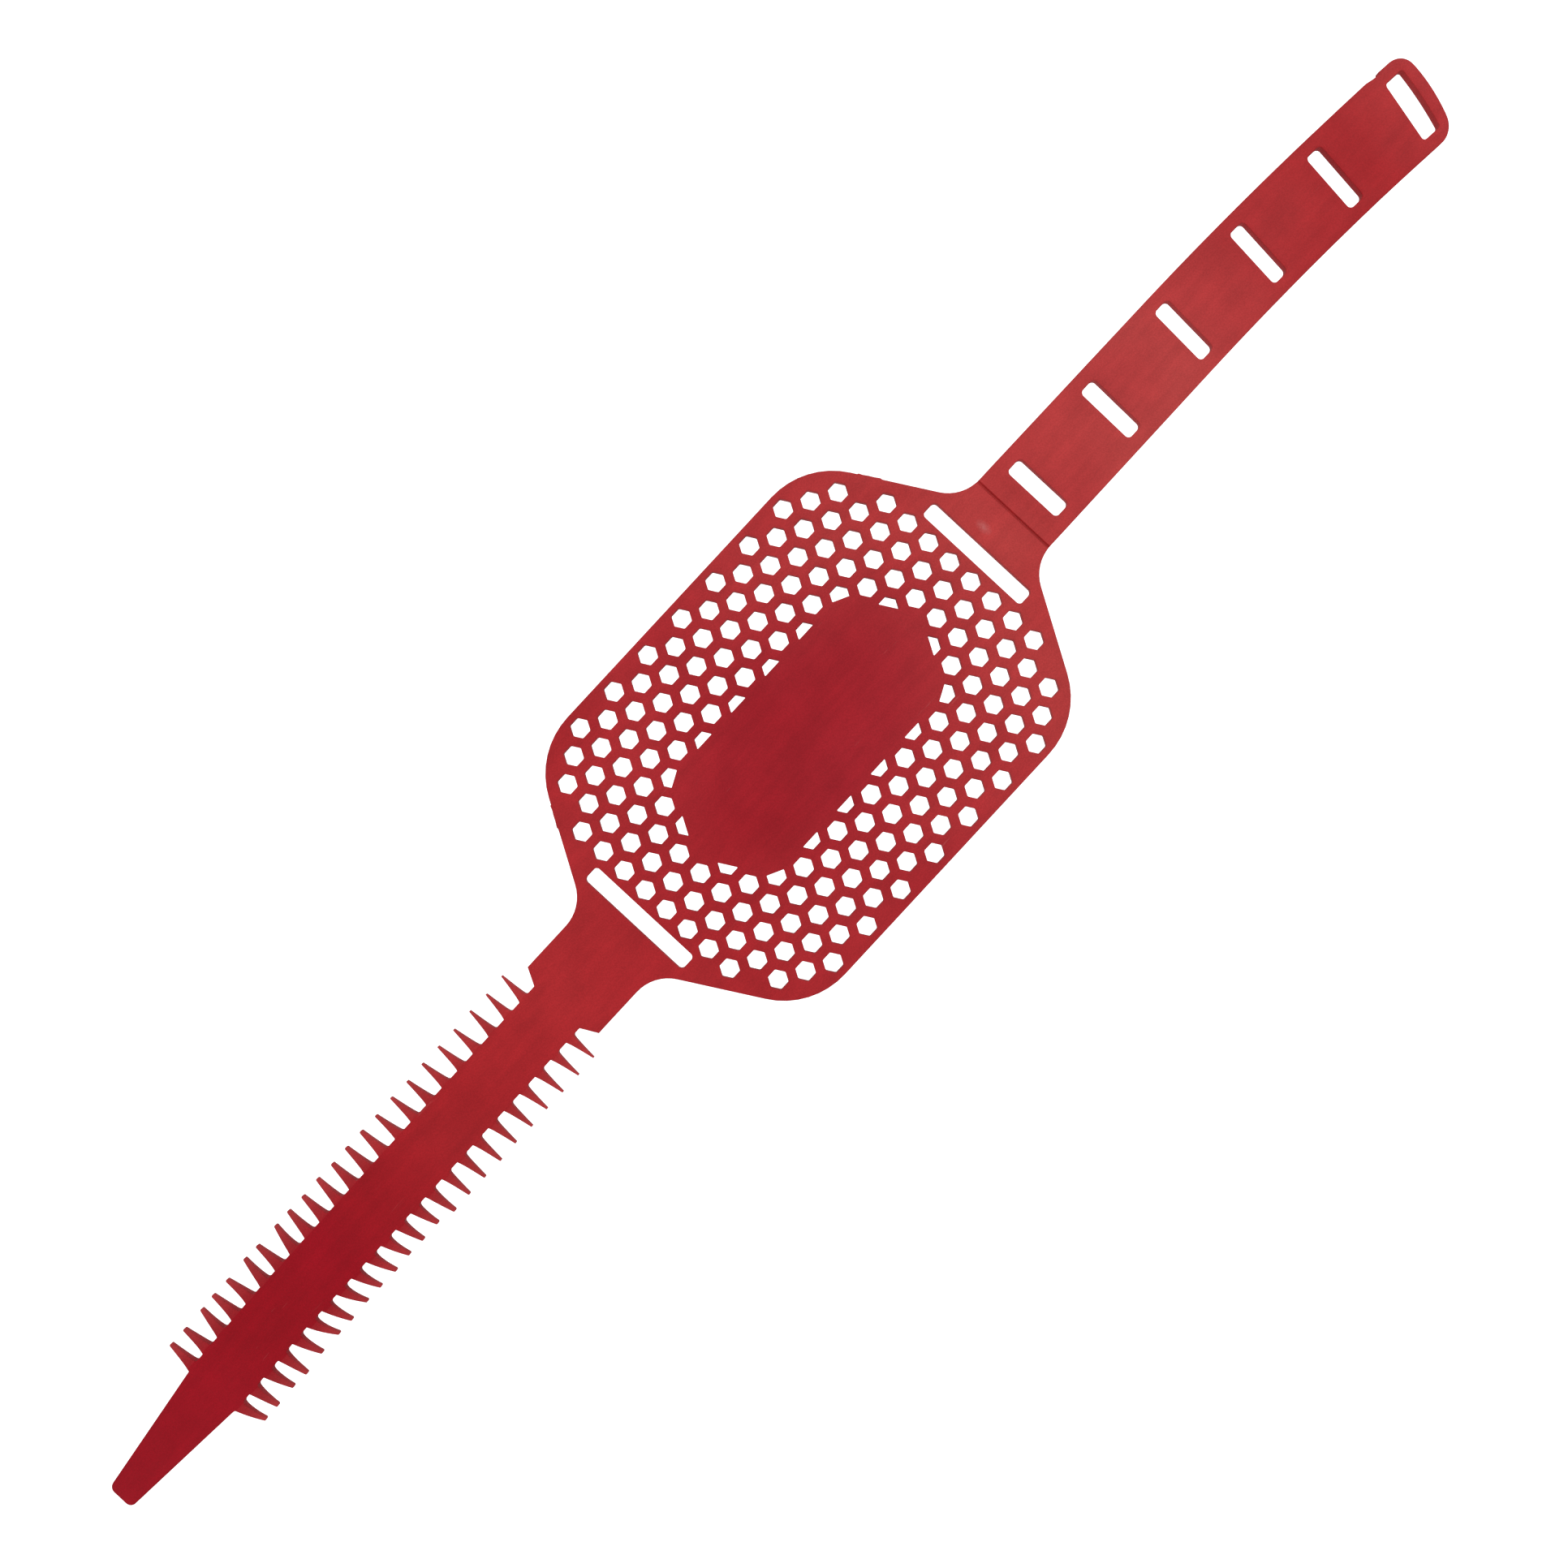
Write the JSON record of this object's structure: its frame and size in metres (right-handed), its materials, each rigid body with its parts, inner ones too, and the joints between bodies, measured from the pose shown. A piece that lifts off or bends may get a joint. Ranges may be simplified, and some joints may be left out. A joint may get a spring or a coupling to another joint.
{
  "type": "adjustable strap with perforated pad",
  "caption": "Flexible one-piece moulded strap: a wide perforated pad in the middle, a slotted strap with an end loop on one side and a barbed tail on the other that threads through a slot.",
  "frame": {"origin": "centre of the pad on its back face, the face it lies on", "axes": "+X along the strap towards the end loop, +Y across the strap, +Z out of the front face"},
  "size_m": [0.5, 0.098, 0.003],
  "materials": {
    "red_elastomer": "semi-matte, fine grain"
  },
  "bodies": {
    "pad_centre": {"pad_centre": "red_elastomer"},
    "pad_tail_side": {"pad_tail_side": "red_elastomer"},
    "pad_strap_side": {"pad_strap_side": "red_elastomer"},
    "strap_link_1": {"strap_link_1": "red_elastomer"},
    "strap_link_2": {"strap_link_2": "red_elastomer"},
    "strap_link_3": {"strap_link_3": "red_elastomer"},
    "strap_link_4": {"strap_link_4": "red_elastomer"},
    "strap_link_5": {"strap_link_5": "red_elastomer"},
    "end_loop": {"end_loop": "red_elastomer"},
    "tail_link_1": {"tail_link_1": "red_elastomer"},
    "tail_link_2": {"tail_link_2": "red_elastomer"},
    "tail_link_3": {"tail_link_3": "red_elastomer"},
    "tail_link_4": {"tail_link_4": "red_elastomer"},
    "tail_link_5": {"tail_link_5": "red_elastomer"},
    "tail_link_6": {"tail_link_6": "red_elastomer"},
    "tail_link_7": {"tail_link_7": "red_elastomer"},
    "tail_link_8": {"tail_link_8": "red_elastomer"},
    "tail_link_9": {"tail_link_9": "red_elastomer"},
    "tail_link_10": {"tail_link_10": "red_elastomer"},
    "tail_link_11": {"tail_link_11": "red_elastomer"},
    "tail_tip": {"tail_tip": "red_elastomer"}
  },
  "joints": [
    {"name": "pad_strap_side_flex", "type": "hinge", "parent": "pad_centre", "child": "pad_strap_side", "pos_m": [0.04192, 0, 0.0015], "axis": [0, -1, 0], "range_deg": [-12, 12], "stiffness_Nm_per_rad": 0.03},
    {"name": "pad_tail_side_flex", "type": "hinge", "parent": "pad_centre", "child": "pad_tail_side", "pos_m": [-0.04192, 0, 0.0015], "axis": [0, 1, 0], "range_deg": [-12, 12], "stiffness_Nm_per_rad": 0.03},
    {"name": "strap_link_1_flex", "type": "hinge", "parent": "pad_strap_side", "child": "strap_link_1", "pos_m": [0.078, 0, 0.0015], "axis": [0, -1, 0], "range_deg": [-40, 40], "stiffness_Nm_per_rad": 0.02},
    {"name": "strap_link_2_flex", "type": "hinge", "parent": "strap_link_1", "child": "strap_link_2", "pos_m": [0.1011, 0, 0.0015], "axis": [0, -1, 0], "range_deg": [-30, 30], "stiffness_Nm_per_rad": 0.02},
    {"name": "strap_link_3_flex", "type": "hinge", "parent": "strap_link_2", "child": "strap_link_3", "pos_m": [0.1289, 0, 0.0015], "axis": [0, -1, 0], "range_deg": [-30, 30], "stiffness_Nm_per_rad": 0.02},
    {"name": "strap_link_4_flex", "type": "hinge", "parent": "strap_link_3", "child": "strap_link_4", "pos_m": [0.1567, 0, 0.0015], "axis": [0, -1, 0], "range_deg": [-30, 30], "stiffness_Nm_per_rad": 0.02},
    {"name": "strap_link_5_flex", "type": "hinge", "parent": "strap_link_4", "child": "strap_link_5", "pos_m": [0.1845, 0, 0.0015], "axis": [0, -1, 0], "range_deg": [-30, 30], "stiffness_Nm_per_rad": 0.02},
    {"name": "end_loop_flex", "type": "hinge", "parent": "strap_link_5", "child": "end_loop", "pos_m": [0.2123, 0, 0.0015], "axis": [0, -1, 0], "range_deg": [-30, 30], "stiffness_Nm_per_rad": 0.02},
    {"name": "tail_link_1_flex", "type": "hinge", "parent": "pad_tail_side", "child": "tail_link_1", "pos_m": [-0.0885, 0, 0.0015], "axis": [0, 1, 0], "range_deg": [-40, 40], "stiffness_Nm_per_rad": 0.02},
    {"name": "tail_link_2_flex", "type": "hinge", "parent": "tail_link_1", "child": "tail_link_2", "pos_m": [-0.11455, 0, 0.0015], "axis": [0, 1, 0], "range_deg": [-18, 18], "stiffness_Nm_per_rad": 0.03},
    {"name": "tail_link_3_flex", "type": "hinge", "parent": "tail_link_2", "child": "tail_link_3", "pos_m": [-0.12651, 0, 0.0015], "axis": [0, 1, 0], "range_deg": [-18, 18], "stiffness_Nm_per_rad": 0.03},
    {"name": "tail_link_4_flex", "type": "hinge", "parent": "tail_link_3", "child": "tail_link_4", "pos_m": [-0.13847, 0, 0.0015], "axis": [0, 1, 0], "range_deg": [-18, 18], "stiffness_Nm_per_rad": 0.03},
    {"name": "tail_link_5_flex", "type": "hinge", "parent": "tail_link_4", "child": "tail_link_5", "pos_m": [-0.15043, 0, 0.0015], "axis": [0, 1, 0], "range_deg": [-18, 18], "stiffness_Nm_per_rad": 0.03},
    {"name": "tail_link_6_flex", "type": "hinge", "parent": "tail_link_5", "child": "tail_link_6", "pos_m": [-0.16217, 0, 0.0015], "axis": [0, 1, 0], "range_deg": [-18, 18], "stiffness_Nm_per_rad": 0.03},
    {"name": "tail_link_7_flex", "type": "hinge", "parent": "tail_link_6", "child": "tail_link_7", "pos_m": [-0.17357, 0, 0.0015], "axis": [0, 1, 0], "range_deg": [-18, 18], "stiffness_Nm_per_rad": 0.03},
    {"name": "tail_link_8_flex", "type": "hinge", "parent": "tail_link_7", "child": "tail_link_8", "pos_m": [-0.18497, 0, 0.0015], "axis": [0, 1, 0], "range_deg": [-18, 18], "stiffness_Nm_per_rad": 0.03},
    {"name": "tail_link_9_flex", "type": "hinge", "parent": "tail_link_8", "child": "tail_link_9", "pos_m": [-0.19637, 0, 0.0015], "axis": [0, 1, 0], "range_deg": [-18, 18], "stiffness_Nm_per_rad": 0.03},
    {"name": "tail_link_10_flex", "type": "hinge", "parent": "tail_link_9", "child": "tail_link_10", "pos_m": [-0.20777, 0, 0.0015], "axis": [0, 1, 0], "range_deg": [-18, 18], "stiffness_Nm_per_rad": 0.03},
    {"name": "tail_link_11_flex", "type": "hinge", "parent": "tail_link_10", "child": "tail_link_11", "pos_m": [-0.21917, 0, 0.0015], "axis": [0, 1, 0], "range_deg": [-18, 18], "stiffness_Nm_per_rad": 0.03},
    {"name": "tail_tip_flex", "type": "hinge", "parent": "tail_link_11", "child": "tail_tip", "pos_m": [-0.23057, 0, 0.0015], "axis": [0, 1, 0], "range_deg": [-18, 18], "stiffness_Nm_per_rad": 0.03}
  ]
}
